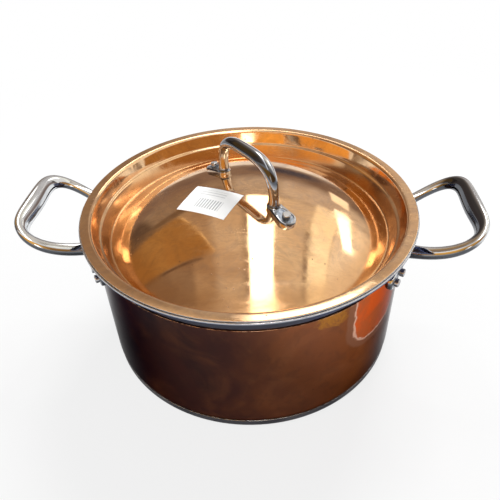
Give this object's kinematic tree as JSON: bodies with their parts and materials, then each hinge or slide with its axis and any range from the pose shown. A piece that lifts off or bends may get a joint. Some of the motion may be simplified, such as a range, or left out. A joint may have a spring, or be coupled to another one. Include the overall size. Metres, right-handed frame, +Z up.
{
  "type": "cooking pot",
  "caption": "Round casserole with copper-clad wall, riveted loop side handles, and a recessed domed lid with an arched handle that lifts off.",
  "frame": {"origin": "middle of the underside of the base, on the pot's axis", "axes": "+Z up along the pot's axis, +X through the middle of the right side handle, +Y to the back"},
  "size_m": [0.3568, 0.2612, 0.1721],
  "materials": {
    "pot_steel": "polished stainless steel",
    "sleeve_copper": "polished copper, darkened",
    "base_aluminium": "plain sheet",
    "base_steel": "turned stainless steel",
    "handle_steel": "mirror polished cast steel",
    "rivet_steel": "polished steel",
    "lid_copper": "polished copper with smudges",
    "lid_steel": "satin stainless steel",
    "label_paper": "matt coated paper"
  },
  "bodies": {
    "pot": {"pot_body": "pot_steel", "copper_sleeve": "sleeve_copper", "base_disc": "base_aluminium", "base_cap": "base_steel", "handle_left": "handle_steel", "handle_right": "handle_steel", "rivet_left_front_a": "rivet_steel", "rivet_left_front_b": "rivet_steel", "rivet_left_back_a": "rivet_steel", "rivet_left_back_b": "rivet_steel", "rivet_right_front_a": "rivet_steel", "rivet_right_front_b": "rivet_steel", "rivet_right_back_a": "rivet_steel", "rivet_right_back_b": "rivet_steel"},
    "lid": {"lid_skin": "lid_copper", "lid_pan": "lid_steel", "lid_handle": "handle_steel", "lid_rivet_back": "rivet_steel", "lid_rivet_front": "rivet_steel", "lid_label": "label_paper"}
  },
  "joints": [
    {"name": "lid_lift", "type": "slide", "parent": "pot", "child": "lid", "axis": [0, 0, 1], "range_m": [0, 0.12]}
  ]
}
